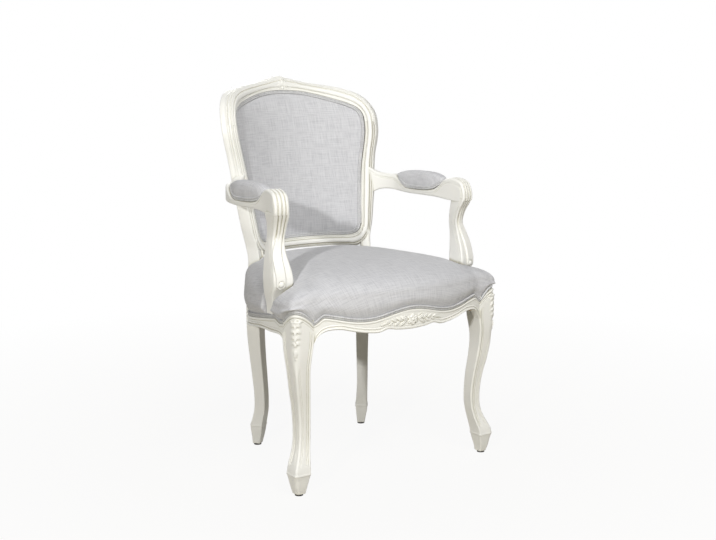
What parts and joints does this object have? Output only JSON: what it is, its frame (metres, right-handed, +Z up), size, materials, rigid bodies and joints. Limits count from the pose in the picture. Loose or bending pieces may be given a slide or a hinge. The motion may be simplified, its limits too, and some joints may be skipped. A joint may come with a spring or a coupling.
{
  "type": "dining armchair",
  "caption": "Carved and painted wooden dining armchair with cabriole front legs, an upholstered concave back, padded arms and a crowned linen seat.",
  "frame": {"origin": "on the floor, under the centre of the chair's bounding box", "axes": "+Z up, the chair faces -Y, +X is the sitter's left"},
  "size_m": [0.604, 0.6271, 0.9686],
  "materials": {
    "painted_wood": "satin off-white paint on carved wood",
    "bare_wood": "sawn hardwood",
    "dowel_wood": "fluted beech dowel",
    "screw_steel": "zinc plated steel",
    "glide_plastic": "dark moulded plastic",
    "webbing": "woven jute webbing",
    "foam": "soft polyurethane foam",
    "linen": "slubby light grey linen",
    "linen_welt": "double welt in the same linen",
    "lining_cloth": "hessian lining",
    "dust_cloth": "thin black dust cloth"
  },
  "bodies": {
    "root": {"crest_rail": "painted_wood", "back_bottom_rail": "painted_wood", "front_seat_rail": "painted_wood", "rear_seat_rail": "painted_wood", "front_leg_left": "painted_wood", "front_leg_right": "painted_wood", "rear_leg_left": "painted_wood", "rear_leg_right": "painted_wood", "side_seat_rail_left": "painted_wood", "side_seat_rail_right": "painted_wood", "arm_post_left": "painted_wood", "arm_post_right": "painted_wood", "arm_left": "painted_wood", "arm_right": "painted_wood", "corner_block_front_left": "bare_wood", "corner_block_front_right": "bare_wood", "corner_block_rear_left": "bare_wood", "corner_block_rear_right": "bare_wood", "seat_frame_dowels": "dowel_wood", "back_frame_dowels": "dowel_wood", "arm_dowels": "dowel_wood", "corner_block_screws": "screw_steel", "leg_glides": "glide_plastic", "seat_webbing_long": "webbing", "seat_webbing_cross": "webbing", "seat_foam": "foam", "back_foam": "foam", "arm_pad_foam_left": "foam", "arm_pad_foam_right": "foam", "seat_cover": "linen", "back_cover": "linen", "outside_back_cover": "linen", "arm_pad_cover_left": "linen", "arm_pad_cover_right": "linen", "seat_piping": "linen_welt", "back_piping_front": "linen_welt", "back_piping_rear": "linen_welt", "arm_pad_piping_left": "linen_welt", "arm_pad_piping_right": "linen_welt", "back_lining": "lining_cloth", "dust_cover": "dust_cloth"}
  },
  "joints": []
}
